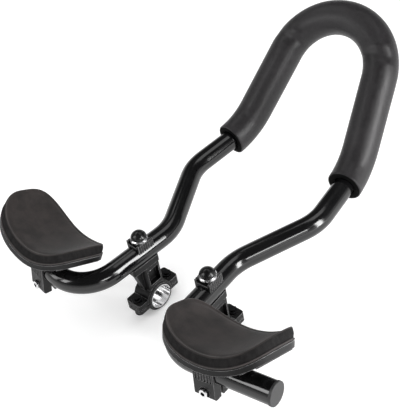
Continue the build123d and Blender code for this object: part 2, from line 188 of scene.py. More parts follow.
class Tree:
    """A node tree under construction."""

    edge_samples = 4
    recess_samples = 8
    bump_strength = 1.0
    mix_factor = 0
    mix_first = 6
    mix_second = 7
    mix_result = 2

    def __init__(self, owner: Union[bpy.types.Material, bpy.types.World]) -> None:
        """Empties the owner's node tree.

        Args:
            owner: The material or world to dress.
        """
        owner.use_nodes = True
        self.owner = owner
        self.tree = owner.node_tree
        self.tree.nodes.clear()

    @classmethod
    def named(cls, name: str) -> "Tree":
        """A tree in a new material of that name."""
        return cls(bpy.data.materials.new(name))

    def node(
        self,
        kind: str,
        settings: Optional[Dict[str, Any]] = None,
        inputs: Optional[Dict[Key, Value]] = None,
    ) -> Made:
        """Adds any node.

        Args:
            kind: The node's type, without its ShaderNode prefix.
            settings: Properties, set first.
            inputs: Values or links of its input sockets.

        Returns:
            The new node.
        """
        made = self.tree.nodes.new("ShaderNode" + kind)
        for key, value in (settings or {}).items():
            setattr(made, key, value)
        for key, value in (inputs or {}).items():
            if isinstance(value, Sock):
                self.tree.links.new(value.socket, made.inputs[key])
            else:
                made.inputs[key].default_value = value
        return Made(self, made)

    def place(self) -> Sock:
        """Object coordinates of the surface."""
        return self.node("TexCoord")["Object"]

    def noise(self, pattern: Noise) -> Sock:
        """Noise on object coordinates.

        Args:
            pattern: What the noise looks like.

        Returns:
            The noise, about its middle value.
        """
        vector = self.place()
        if pattern.stretch != EVEN:
            vector = self.node("Mapping", None, {"Vector": vector, "Scale": pattern.stretch})["Vector"]
        inputs = {
            "Vector": vector,
            "Scale": pattern.scale,
            "Detail": pattern.detail,
            "Roughness": pattern.rough,
        }
        return self.node("TexNoise", None, inputs)["Fac"]

    def cells(self, scale: float) -> Sock:
        """Distance to the nearest of scattered points, as in fine pores."""
        inputs = {"Vector": self.place(), "Scale": scale}
        return self.node("TexVoronoi", {"feature": "F1"}, inputs)["Distance"]

    def blend(self, factor: Value, first: Value, second: Value) -> Sock:
        """A mix of two colours."""
        inputs = {self.mix_factor: factor, self.mix_first: first, self.mix_second: second}
        return self.node("Mix", {"data_type": "RGBA"}, inputs)[self.mix_result]

    def painted(self, layer: str) -> Sock:
        """The piece's own attribute of that name."""
        return self.node("Attribute", {"attribute_name": layer})["Fac"]

    def soft_edges(self, radius: float) -> Sock:
        """A normal that rounds the solid's edges by a small radius."""
        return self.node("Bevel", {"samples": self.edge_samples}, {"Radius": radius})["Normal"]

    def worn(self, rounded: Sock) -> Sock:
        """Finds a solid's edges, where pale wear and painted edge highlights go.

        Args:
            rounded: A normal that rounds the edges.

        Returns:
            How far it leans from the surface's own normal: nothing on flats, most along edges.
        """
        own = self.node("NewGeometry")["Normal"]
        lean = self.node("VectorMath", {"operation": "DOT_PRODUCT"}, {0: rounded, 1: own})["Value"]
        return 1.0 - lean

    def hollow(self, depth: float) -> Sock:
        """One in the open, towards nothing in the solid's own narrow recesses."""
        settings = {"samples": self.recess_samples, "only_local": True}
        return self.node("AmbientOcclusion", settings, {"Distance": depth})["AO"]

    def bump(self, height: Sock, depth: float, normal: Optional[Sock] = None) -> Sock:
        """A bumped normal.

        Args:
            height: The height, from 0 to 1.
            depth: What a height of 1 is worth, in metres.
            normal: The normal that is bumped, when not the mesh's own.

        Returns:
            The new normal.
        """
        inputs: Dict[Key, Value] = {"Height": height, "Distance": depth, "Strength": self.bump_strength}
        if normal is not None:
            inputs["Normal"] = normal
        return self.node("Bump", None, inputs)["Normal"]

    def surface(self, inputs: Dict[Key, Value]) -> bpy.types.Material:
        """Ends the material in a Principled shader.

        Args:
            inputs: Values or links of the shader's sockets.

        Returns:
            The finished material.
        """
        shader = self.node("BsdfPrincipled", None, inputs)
        self.node("OutputMaterial", None, {"Surface": shader["BSDF"]})
        return self.owner


def rgba(colour: Colour) -> Opaque:
    """The colour with full opacity."""
    return (*colour, 1.0)


@dataclass(frozen=True)
class GlossPaint:
    """Deep black paint over alloy, with a slight orange peel and handling haze."""

    name: str = "bar_gloss"
    colour: Colour = (0.0028, 0.0028, 0.0031)
    haze: Colour = (0.0052, 0.0052, 0.0056)
    smudge: Noise = Noise(38.0, 1.0)
    grain: Noise = Noise(2600.0)
    peel: Noise = Noise(240.0)
    peel_depth: float = 0.0000008
    haze_span: Span = (0.45, 0.75)
    rough_span: Span = (0.3, 0.8, 0.130, 0.150)
    grain_rough: float = 0.004
    specular: float = 0.7

    def material(self) -> bpy.types.Material:
        """Builds the node tree.

        Returns:
            The finished material.
        """
        tree = Tree.named(self.name)
        smudge = tree.noise(self.smudge)
        grain = tree.noise(self.grain)
        peel = tree.noise(self.peel)
        return tree.surface(
            {
                "Base Color": tree.blend(smudge.ramp(*self.haze_span), rgba(self.colour), rgba(self.haze)),
                "Roughness": smudge.ramp(*self.rough_span) + grain.swing(self.grain_rough),
                "Specular IOR Level": self.specular,
                "Normal": tree.bump(peel, self.peel_depth),
            }
        )


@dataclass(frozen=True)
class GripFoam:
    """Closed-cell foam: satin, dark grey, with fine pores and an uneven skin."""

    name: str = "grip_foam"
    dark: Colour = (0.0068, 0.0060, 0.0067)
    pale: Colour = (0.0208, 0.0186, 0.0205)
    pore_scale: float = 1900.0
    skin: Noise = Noise(260.0, 5.0, 0.62)
    drift: Noise = Noise(22.0, 3.0)
    pore_span: Span = (0.05, 0.55)
    pore_share: float = 0.35
    drift_share: float = 0.35
    shade_span: Span = (0.2, 0.8)
    rough_span: Span = (0.25, 0.75, 0.33, 0.44)
    drift_rough: float = 0.08
    relief_depth: float = 0.00020
    specular: float = 0.5
    sheen: float = 0.05
    sheen_rough: float = 0.4

    def material(self) -> bpy.types.Material:
        """Builds the node tree.

        Returns:
            The finished material.
        """
        tree = Tree.named(self.name)
        pores = tree.cells(self.pore_scale)
        skin = tree.noise(self.skin)
        drift = tree.noise(self.drift)
        relief = pores.ramp(*self.pore_span).mixed(skin, self.pore_share)
        shade = drift.mixed(skin, self.drift_share).ramp(*self.shade_span)
        return tree.surface(
            {
                "Base Color": tree.blend(shade, rgba(self.dark), rgba(self.pale)),
                "Roughness": skin.ramp(*self.rough_span) + drift.swing(self.drift_rough),
                "Specular IOR Level": self.specular,
                "Sheen Weight": self.sheen,
                "Sheen Roughness": self.sheen_rough,
                "Normal": tree.bump(relief, self.relief_depth),
            }
        )


@dataclass(frozen=True)
class RawFoam:
    """Foam as it is cut, with its cells open: matte and pitted, its colour darkened as painted shade on
    the faces that wear it.
    """

    name: str
    dark: Colour
    pale: Colour
    specular: float
    cell_scale: float = 1300.0
    streak: Noise = Noise(240.0, 4.0, 0.6, (1.0, 1.0, 0.25))
    streak_span: Span = (0.3, 0.7)
    streak_share: float = 0.7
    rough_span: Span = (0.0, 0.6, 0.78, 0.92)
    pit_depth: float = 0.00025

    def material(self) -> bpy.types.Material:
        """Builds the node tree.

        Returns:
            The finished material.
        """
        tree = Tree.named(self.name)
        pits = tree.cells(self.cell_scale)
        streak = tree.noise(self.streak)
        shade = streak.ramp(*self.streak_span).mixed(pits, self.streak_share)
        return tree.surface(
            {
                "Base Color": tree.blend(shade, rgba(self.dark), rgba(self.pale)),
                "Roughness": pits.ramp(*self.rough_span),
                "Specular IOR Level": self.specular,
                "Normal": tree.bump(pits, self.pit_depth),
            }
        )


@dataclass(frozen=True)
class PadFoam:
    """Cloth-faced foam with a fine nap, warm dark grey and matte, paler along its rim and crease as a
    painted highlight that also stands for worn nap.
    """

    name: str = "pad_foam"
    dark: Colour = (0.0088, 0.0070, 0.0067)
    pale: Colour = (0.0322, 0.0260, 0.0247)
    rubbed: Colour = (0.085, 0.078, 0.076)
    nap: Noise = Noise(2400.0, 3.0, 0.7)
    weave_scale: float = 1500.0
    cloud: Noise = Noise(48.0, 6.0, 0.68)
    rub_layer: str = "rim_highlight_and_wear"
    rub_span: Span = (0.3, 0.6)
    cloud_span: Span = (0.32, 0.68)
    cloud_share: float = 0.8
    rough_span: Span = (0.3, 0.7, 0.74, 0.88)
    nap_share: float = 0.6
    relief_depth: float = 0.00014
    specular: float = 0.35
    sheen: float = 0.1
    sheen_rough: float = 0.5

    def material(self) -> bpy.types.Material:
        """Builds the node tree.

        Returns:
            The finished material.
        """
        tree = Tree.named(self.name)
        nap = tree.noise(self.nap)
        weave = tree.cells(self.weave_scale)
        cloud = tree.noise(self.cloud)
        # Painted highlight along the rim and crease, also standing for worn nap.
        rim_highlight_and_wear = tree.painted(self.rub_layer) * nap.ramp(*self.rub_span)
        cloudy = cloud.ramp(*self.cloud_span).mixed(nap, self.cloud_share)
        shade = tree.blend(cloudy, rgba(self.dark), rgba(self.pale))
        return tree.surface(
            {
                "Base Color": tree.blend(rim_highlight_and_wear, shade, rgba(self.rubbed)),
                "Roughness": cloud.ramp(*self.rough_span),
                "Specular IOR Level": self.specular,
                "Sheen Weight": self.sheen,
                "Sheen Roughness": self.sheen_rough,
                "Normal": tree.bump(nap.mixed(weave, self.nap_share), self.relief_depth),
            }
        )


@dataclass(frozen=True)
class MouldedPlastic:
    """Fibre-filled moulded plastic: satin black and fine grained, paler along its open edges as painted
    highlight and wear, with painted shade that blackens its recesses.
    """

    name: str = "moulded_black"
    dark: Colour = (0.0028, 0.0027, 0.0029)
    pale: Colour = (0.0082, 0.0079, 0.0083)
    # Pale colour along the edges: a painted highlight as well as wear.
    rubbed: Colour = (0.36, 0.355, 0.36)
    # Near-black colour painted into recesses as shade.
    soot: Colour = (0.0006, 0.0006, 0.0006)
    grain: Noise = Noise(1500.0, 3.0, 0.6)
    flow: Noise = Noise(70.0, 4.0, 0.55, (1.0, 1.0, 0.3))
    edge_radius: float = 0.0011
    pocket_depth: float = 0.009
    open_span: Span = (0.35, 0.85)
    worn_span: Span = (0.03, 0.2)
    patchy_span: Span = (0.25, 0.6, 0.35, 1.0)
    flow_span: Span = (0.35, 0.7)
    rough_span: Span = (0.3, 0.75, 0.38, 0.50)
    grain_rough: float = 0.1
    grain_depth: float = 0.00006
    specular: float = 0.34

    def material(self) -> bpy.types.Material:
        """Builds the node tree.

        Returns:
            The finished material.
        """
        tree = Tree.named(self.name)
        grain = tree.noise(self.grain)
        flow = tree.noise(self.flow)
        rounded = tree.soft_edges(self.edge_radius)
        # Painted shade: in_open falls towards nothing in the solid's narrow recesses, where the colour
        # goes near black.
        in_open = tree.hollow(self.pocket_depth).ramp(*self.open_span)
        edge = tree.worn(rounded).ramp(*self.worn_span) * flow.ramp(*self.patchy_span) * in_open
        face = tree.blend(flow.ramp(*self.flow_span), rgba(self.dark), rgba(self.pale))
        shade = tree.blend(in_open, rgba(self.soot), face)
        return tree.surface(
            {
                # The pale edge colour is a painted highlight along the edges as well as wear; it fades out
                # in recesses.
                "Base Color": tree.blend(edge, shade, rgba(self.rubbed)),
                "Roughness": flow.ramp(*self.rough_span) + grain.swing(self.grain_rough),
                "Specular IOR Level": self.specular,
                "Normal": tree.bump(grain, self.grain_depth, rounded),
            }
        )


@dataclass(frozen=True)
class GlossCap:
    """Gloss black plastic of the dome caps."""

    name: str = "gloss_black"
    colour: Colour = (0.0025, 0.0025, 0.0027)
    worn: Colour = (0.010, 0.010, 0.0105)
    mottle: Noise = Noise(160.0, 4.0, 0.6)
    worn_span: Span = (0.4, 0.75)
    rough_span: Span = (0.3, 0.7, 0.22, 0.32)
    mottle_depth: float = 0.00003
    edge_radius: float = 0.0005

    def material(self) -> bpy.types.Material:
        """Builds the node tree.

        Returns:
            The finished material.
        """
        tree = Tree.named(self.name)
        mottle = tree.noise(self.mottle)
        return tree.surface(
            {
                "Base Color": tree.blend(mottle.ramp(*self.worn_span), rgba(self.colour), rgba(self.worn)),
                "Roughness": mottle.ramp(*self.rough_span),
                "Normal": tree.bump(mottle, self.mottle_depth, tree.soft_edges(self.edge_radius)),
            }
        )


@dataclass(frozen=True)
class BareMetal:
    """Metal with a turned or drawn grain along one axis, and painted shade that darkens its sockets."""

    name: str
    colour: Colour
    shade: Colour
    rough: float
    grain: Place
    # Near-black colour painted into sockets and recesses as shade.
    grime: Colour = (0.006, 0.006, 0.006)
    grain_scale: float = 900.0
    grain_detail: float = 3.0
    grain_weight: float = 0.6
    stain: Noise = Noise(120.0, 3.0)
    socket_depth: float = 0.004
    open_span: Span = (0.35, 0.85)
    stain_span: Span = (0.35, 0.7)
    stain_share: float = 0.6
    line_span: Span = (0.25, 0.75)
    line_rough: float = 0.08
    stain_rough: float = 0.06
    line_depth: float = 0.00001
    edge_radius: float = 0.0003
    metallic: float = 1.0

    def material(self) -> bpy.types.Material:
        """Builds the node tree.

        Returns:
            The finished material.
        """
        tree = Tree.named(self.name)
        lines = tree.noise(Noise(self.grain_scale, self.grain_detail, self.grain_weight, self.grain))
        stain = tree.noise(self.stain)
        stained = stain.ramp(*self.stain_span).mixed(lines, self.stain_share)
        metal = tree.blend(stained, rgba(self.colour), rgba(self.shade))
        in_open = tree.hollow(self.socket_depth).ramp(*self.open_span)
        rough = lines.ramp(*self.line_span, self.rough, self.rough + self.line_rough)
        return tree.surface(
            {
                # Painted shade: the colour goes near black in narrow recesses such as hex sockets.
                "Base Color": tree.blend(in_open, rgba(self.grime), metal),
                "Metallic": self.metallic,
                "Roughness": rough + stain.swing(self.stain_rough),
                "Normal": tree.bump(lines, self.line_depth, tree.soft_edges(self.edge_radius)),
            }
        )


@dataclass(frozen=True)
class HookTape:
    """Black hook and loop tape."""

    name: str = "hook_fabric"
    dark: Colour = (0.006, 0.006, 0.006)
    pale: Colour = (0.03, 0.03, 0.03)
    loop_scale: float = 900.0
    loop_span: Span = (0.1, 0.6)
    rough_span: Span = (0.0, 0.6, 0.8, 0.95)
    loop_depth: float = 0.0004

    def material(self) -> bpy.types.Material:
        """Builds the node tree.

        Returns:
            The finished material.
        """
        tree = Tree.named(self.name)
        loops = tree.cells(self.loop_scale)
        return tree.surface(
            {
                "Base Color": tree.blend(loops.ramp(*self.loop_span), rgba(self.pale), rgba(self.dark)),
                "Roughness": loops.ramp(*self.rough_span),
                "Normal": tree.bump(loops, self.loop_depth),
            }
        )


@dataclass(frozen=True)
class PlugRubber:
    """Grey-black rubber of the end plugs, with a faint bloom."""

    name: str = "plug_rubber"
    dark: Colour = (0.022, 0.022, 0.0225)
    pale: Colour = (0.05, 0.0495, 0.0505)
    bloom: Noise = Noise(260.0, 4.0, 0.65)
    grain: Noise = Noise(1800.0)
    bloom_span: Span = (0.3, 0.75)
    rough_span: Span = (0.3, 0.7, 0.42, 0.56)
    grain_depth: float = 0.00005
    edge_radius: float = 0.0005

    def material(self) -> bpy.types.Material:
        """Builds the node tree.

        Returns:
            The finished material.
        """
        tree = Tree.named(self.name)
        bloom = tree.noise(self.bloom)
        grain = tree.noise(self.grain)
        return tree.surface(
            {
                "Base Color": tree.blend(bloom.ramp(*self.bloom_span), rgba(self.dark), rgba(self.pale)),
                "Roughness": bloom.ramp(*self.rough_span),
                "Normal": tree.bump(grain, self.grain_depth, tree.soft_edges(self.edge_radius)),
            }
        )


class Finish(Enum):
    """The record's material slots, each with its finish, then the plugs' rubber and the cut foams, which
    are darkened as painted shade.
    """

    bar_gloss = GlossPaint()
    grip_foam = GripFoam()
    pad_foam = PadFoam()
    hook_fabric = HookTape()
    moulded_black = MouldedPlastic()
    gloss_black = GlossCap()
    bright_alloy = BareMetal(
        name="bright_alloy",
        colour=(0.97, 0.97, 0.975),
        shade=(0.88, 0.88, 0.89),
        rough=0.14,
        grain=(0.05, 1.0, 1.0),
    )
    bright_steel = BareMetal(
        name="bright_steel",
        colour=(0.9, 0.9, 0.91),
        shade=(0.74, 0.74, 0.75),
        rough=0.22,
        grain=(1.0, 1.0, 0.2),
    )
    black_steel = BareMetal(
        name="black_steel",
        colour=(0.035, 0.035, 0.037),
        shade=(0.02, 0.02, 0.021),
        rough=0.34,
        grain=(1.0, 1.0, 0.3),
    )
    plug_rubber = PlugRubber()
    # Darker than the grip's skin: painted shade on the sleeve's cut ends.
    grip_cut = RawFoam(
        name="grip_cut",
        dark=(0.0025, 0.0025, 0.0026),
        pale=(0.006, 0.006, 0.0062),
        specular=0.1,
    )
    # Darker than the pad's cloth: painted shade on the pad's sides.
    pad_flank = RawFoam(
        name="pad_flank",
        dark=(0.006, 0.0056, 0.0058),
        pale=(0.017, 0.0158, 0.0158),
        specular=0.22,
    )


class Wardrobe:
    """Makes each finish's material once and dresses objects with it."""

    plug_ending = "end_plug"

    def __init__(self, record: Dict[str, Any]) -> None:
        """Reads which slot each CAD node takes.

        Args:
            record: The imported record.
        """
        parts = record["subparts"]
        self.slot_of: Dict[str, str] = {part["node"]: part["material_slot"] for part in parts}
        self.made: Dict[Finish, bpy.types.Material] = {}

    def material(self, finish: Finish) -> bpy.types.Material:
        """The finish's material, made on first use.

        Args:
            finish: Which finish.

        Returns:
            Its material.
        """
        if finish not in self.made:
            self.made[finish] = finish.value.material()
        return self.made[finish]

    def dress(self, obj: bpy.types.Object, *finishes: Finish) -> None:
        """Puts finishes in the object's slots.

        Args:
            obj: The object to dress.
            finishes: Its finishes, in the order of its faces' material numbers.
        """
        slots = [face.material_index for face in obj.data.polygons]
        obj.data.materials.clear()
        for finish in finishes:
            obj.data.materials.append(self.material(finish))
        if len(finishes) == 1:
            slots = [0] * len(slots)
        obj.data.polygons.foreach_set("material_index", slots)

    def dress_nodes(self, nodes: Dict[str, bpy.types.Object]) -> None:
        """Dresses every CAD node from its slot, and the end plugs in rubber.

        Args:
            nodes: The CAD objects by name.
        """
        for name, obj in nodes.items():
            plug = name.endswith(self.plug_ending)
            self.dress(obj, Finish.plug_rubber if plug else Finish[self.slot_of[name]])


def put_in_order(parts: Any, places: List[Vector]) -> None:
    """Sorts a mesh's points or faces by place, since extrusion leaves them in an order that varies.

    Args:
        parts: The mesh's points or faces.
        places: Where each of them is.
    """
    ordered = sorted(zip(map(tuple, places), parts), key=lambda pair: pair[0])
    rank = {part: number for number, (_, part) in enumerate(ordered)}
    parts.sort(key=rank.get)


def finished_piece(bm: bmesh.types.BMesh, name: str) -> bpy.types.Object:
    """Turns a bmesh into a smooth-shaded piece that rides on the bar.

    Args:
        bm: The mesh, in the part's frame; it is freed.
        name: The piece's name.

    Returns:
        The new object.
    """
    bmesh.ops.remove_doubles(bm, verts=bm.verts, dist=WELD_DISTANCE)
    bmesh.ops.recalc_face_normals(bm, faces=bm.faces)
    put_in_order(bm.verts, [vert.co for vert in bm.verts])
    put_in_order(bm.faces, [face.calc_center_median() for face in bm.faces])
    mesh = bpy.data.meshes.new(name)
    bm.to_mesh(mesh)
    bm.free()
    mesh.shade_smooth()
    obj = bpy.data.objects.new(name, mesh)
    bpy.context.scene.collection.objects.link(obj)
    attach(obj, "root")
    return obj


def ring_points(ring: Ring) -> List[bmesh.types.BMVert]:
    """The ring's vertices, each once."""
    return list({vert for edge in ring for vert in edge.verts})


def grown(bm: bmesh.types.BMesh, ring: Ring) -> Ring:
    """Extrudes a ring of edges in place.

    Args:
        bm: The mesh under construction.
        ring: The ring to extrude.

    Returns:
        The new ring, without the edges that run across to the old one.
    """
    geometry = bmesh.ops.extrude_edge_only(bm, edges=ring)["geom"]
    old = set(ring_points(ring))
    edges = [part for part in geometry if isinstance(part, bmesh.types.BMEdge)]
    return [edge for edge in edges if not old.intersection(edge.verts)]


def mirrored(point: Vector) -> Vector:
    """The same point on the other side."""
    return Vector((-point.x, point.y, point.z))


@dataclass(frozen=True)
class Fold:
    """One fold across the sleeve, pressed in or, with a negative depth, standing proud."""

    place: Place
    along: Place
    spread: float
    width: float
    depth: float

    def press(self, point: Vector) -> float:
        """How deep the fold is.

        Args:
            point: A point of the skin.

        Returns:
            The depth there.
        """
        along = Vector(self.along).normalized()
        away = point - Vector(self.place)
        across = away.dot(along)
        beside = (away - along * across).length
        return self.depth * math.exp(-((across / self.width) ** 2) - (beside / self.spread) ** 2)


@dataclass
class FoamGrip:
    """The foam sleeve over the forward loop, swept by spins and extrusions along the bar's route."""

    shoulder: Place = (0.0835, 0.122, 0.0686)
    crook: Place = (0.0743, 0.2015, 0.0745)
    loop: Place = (0.0528, 0.307, 0.1815)
    crook_radius: float = 0.072
    loop_flat: float = 0.0004
    end_up_bend: float = 0.0055
    lead: float = 0.0016
    radius: float = 0.0186
    bore: float = 0.0113
    lip: float = 0.0012
    mouth: float = 0.0116
    mouth_depth: float = 0.0014
    segments: int = 112
    step: float = 0.0022
    bore_step: float = 0.0044
    lip_rings: int = 6
    cut_layer: str = "cut"
    folds: Tuple[Fold, ...] = (
        Fold((-0.0559, 0.2666, 0.1669), (0.10, 0.72, 0.69), 0.0130, 0.0050, 0.0026),
        Fold((-0.0470, 0.2720, 0.1705), (0.45, 0.62, 0.64), 0.0130, 0.0045, -0.0012),
        Fold((-0.0408, 0.2713, 0.1610), (0.55, 0.60, 0.58), 0.0110, 0.0040, 0.0017),
        Fold((0.0575, 0.2826, 0.1794), (-0.30, 0.68, 0.67), 0.0110, 0.0042, -0.0014),
        Fold((0.0590, 0.2735, 0.1720), (-0.20, 0.70, 0.69), 0.0130, 0.0042, 0.0026),
        Fold((0.0480, 0.2780, 0.1690), (-0.40, 0.65, 0.64), 0.0110, 0.0034, 0.0016),
        Fold((0.0772, 0.1944, 0.0967), (0.0, 0.86, 0.51), 0.0140, 0.0040, 0.0006),
        Fold((-0.0640, 0.1980, 0.0945), (0.0, 0.86, 0.51), 0.0140, 0.0040, 0.0006),
    )
    name: str = "foam_grip_skin"

    def corners(self) -> List[Vector]:
        """Finds the route's corners; the ends lie a little way up the crooks' bends.

        Returns:
            The corners from the right end, over the loop, to the left end.
        """
        crook = Vector(self.crook)
        loop = Vector(self.loop)
        down = (crook - loop).normalized()
        run = (Vector(self.shoulder) - crook).normalized()
        across = (run - down * run.dot(down)).normalized()
        turn = down.angle(run)
        bend_top = crook - down * self.crook_radius * math.tan(turn / 2)
        turn -= self.end_up_bend / self.crook_radius
        reach = self.crook_radius * math.tan(turn / 2)
        corner = bend_top + down * reach
        start = corner + (down * math.cos(turn) + across * math.sin(turn)) * (reach + self.lead)
        right = [start, corner, loop]
        return right + [mirrored(point) for point in reversed(right)]

    def bends(self, corners: List[Vector]) -> List[float]:
        """Finds the bend radius at each inner corner.

        Args:
            corners: The route's corners.

        Returns:
            The radii, in the route's order.
        """
        loop = corners[2]
        crook = corners[1]
        half = math.tan((loop - mirrored(loop)).angle(crook - loop) / 2)
        round_top = (loop.x - self.loop_flat / 2) / half
        return [self.crook_radius, round_top, round_top, self.crook_radius]

    def swept(self, bm: bmesh.types.BMesh, ring: Ring, trim: float, step: float) -> Ring:
        """Carries a ring along the whole route.

        Args:
            bm: The mesh under construction.
            ring: The ring of edges to carry, at the route's start plus trim.
            trim: How far inside the route's ends the ring starts and stops.
            step: Distance from one ring to the next.

        Returns:
            The ring at the far end.
        """
        corners = self.corners()
        here = corners[0] + (corners[1] - corners[0]).normalized() * trim
        for index, bend in enumerate(self.bends(corners), start=1):
            before = (corners[index] - corners[index - 1]).normalized()
            after = (corners[index + 1] - corners[index]).normalized()
            turn = before.angle(after)
            reach = bend * math.tan(turn / 2)
            ring = self.run(bm, ring, corners[index] - before * reach - here, step)
            inward = (after - before).normalized()
            centre = corners[index] + inward * (bend / math.cos(turn / 2))
            steps = max(1, math.ceil(bend * turn / step))
            axis = before.cross(after)
            for _ in range(steps):
                spun = bmesh.ops.spin(bm, geom=ring, cent=centre, axis=axis, angle=turn / steps, steps=1)
                ring = [part for part in spun["geom_last"] if isinstance(part, bmesh.types.BMEdge)]
            here = corners[index] + after * reach
        last = corners[-1] - (corners[-1] - corners[-2]).normalized() * trim
        return self.run(bm, ring, last - here, step)

    @staticmethod
    def run(bm: bmesh.types.BMesh, ring: Ring, travel: Vector, step: float) -> Ring:
        """Carries a ring straight along, in even steps.

        Args:
            bm: The mesh under construction.
            ring: The ring of edges to carry.
            travel: How far it goes.
            step: Longest distance from one ring to the next.

        Returns:
            The ring at the far end.
        """
        if travel.length < NO_TRAVEL:
            return ring
        steps = max(1, math.ceil(travel.length / step))
        for _ in range(steps):
            ring = grown(bm, ring)
            bmesh.ops.translate(bm, verts=ring_points(ring), vec=travel / steps)
        return ring

    def lip_profile(self) -> List[Tuple[float, float]]:
        """Lists the rings of one end: how far out each lies, and its radius.

        Returns:
            The rounded lip, the cut face, then the turn into the bore.
        """
        profile = []
        for index in range(1, self.lip_rings + 1):
            angle = math.pi / 2 * index / self.lip_rings
            profile.append((self.lip * math.sin(angle), self.radius - self.lip * (1 - math.cos(angle))))
        profile.append((self.lip, (self.radius + self.mouth) / 2))
        profile.append((self.lip, self.mouth))
        profile.append((self.lip - self.mouth_depth, self.bore))
        return profile

    def lipped(self, bm: bmesh.types.BMesh, ring: Ring, centre: Vector, outward: Vector, cut: Any) -> Ring:
        """Rounds one end over and turns it in to the bore.

        Args:
            bm: The mesh under construction.
            ring: The sleeve's last full ring.
            centre: That ring's centre.
            outward: The direction out of the sleeve.
            cut: The vertex layer that marks the cut end.

        Returns:
            The ring inside the mouth, at the bore.
        """
        reach = 0.0
        radius = self.radius
        for index, (next_reach, next_radius) in enumerate(self.lip_profile()):
            ring = grown(bm, ring)
            verts = ring_points(ring)
            for vert in verts:
                vert[cut] = float(index >= self.lip_rings - 1)
            here = Matrix.Translation(-(centre + outward * reach))
            factor = next_radius / radius
            bmesh.ops.scale(bm, verts=verts, vec=(factor, factor, factor), space=here)
            bmesh.ops.translate(bm, verts=verts, vec=outward * (next_reach - reach))
            reach = next_reach
            radius = next_radius
        return ring

    def crease(self, bm: bmesh.types.BMesh) -> None:
        """Presses the folds into the skin.

        Args:
            bm: The swept skin.
        """
        bm.normal_update()
        for vert in bm.verts:
            vert.co -= vert.normal * sum(fold.press(vert.co) for fold in self.folds)

    def build(self) -> bpy.types.Object:
        """Sweeps the sleeve, creases its bends and turns its ends in.

        Returns:
            The finished piece.
        """
        bm = bmesh.new()
        cut = bm.verts.layers.float.new(self.cut_layer)
        corners = self.corners()
        forward = (corners[1] - corners[0]).normalized()
        backward = (corners[-1] - corners[-2]).normalized()
        start = corners[0] + forward * self.lip
        facing = Matrix.Translation(start) @ forward.to_track_quat("Z", "Y").to_matrix().to_4x4()
        bmesh.ops.create_circle(bm, segments=self.segments, radius=self.radius, matrix=facing)
        first = list(bm.edges)
        last = self.swept(bm, first, self.lip, self.step)
        self.crease(bm)
        near = self.lipped(bm, first, start, -forward, cut)
        self.lipped(bm, last, corners[-1] - backward * self.lip, backward, cut)
        self.swept(bm, near, self.mouth_depth, self.bore_step)
        for face in bm.faces:
            # The cut end faces take the second finish, whose darker colour is painted shade.
            face.material_index = int(all(vert[cut] for vert in face.verts))
        bm.verts.layers.float.remove(cut)
        return finished_piece(bm, self.name)

    def dressed(self, wardrobe: Wardrobe) -> bpy.types.Object:
        """Builds the sleeve, dresses it and puts it in its solid's place.

        Args:
            wardrobe: Where the finishes come from.

        Returns:
            The dressed piece.
        """
        grip = self.build()
        wardrobe.dress(grip, Finish.grip_foam, Finish.grip_cut)
        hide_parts("foam_grip")
        return grip


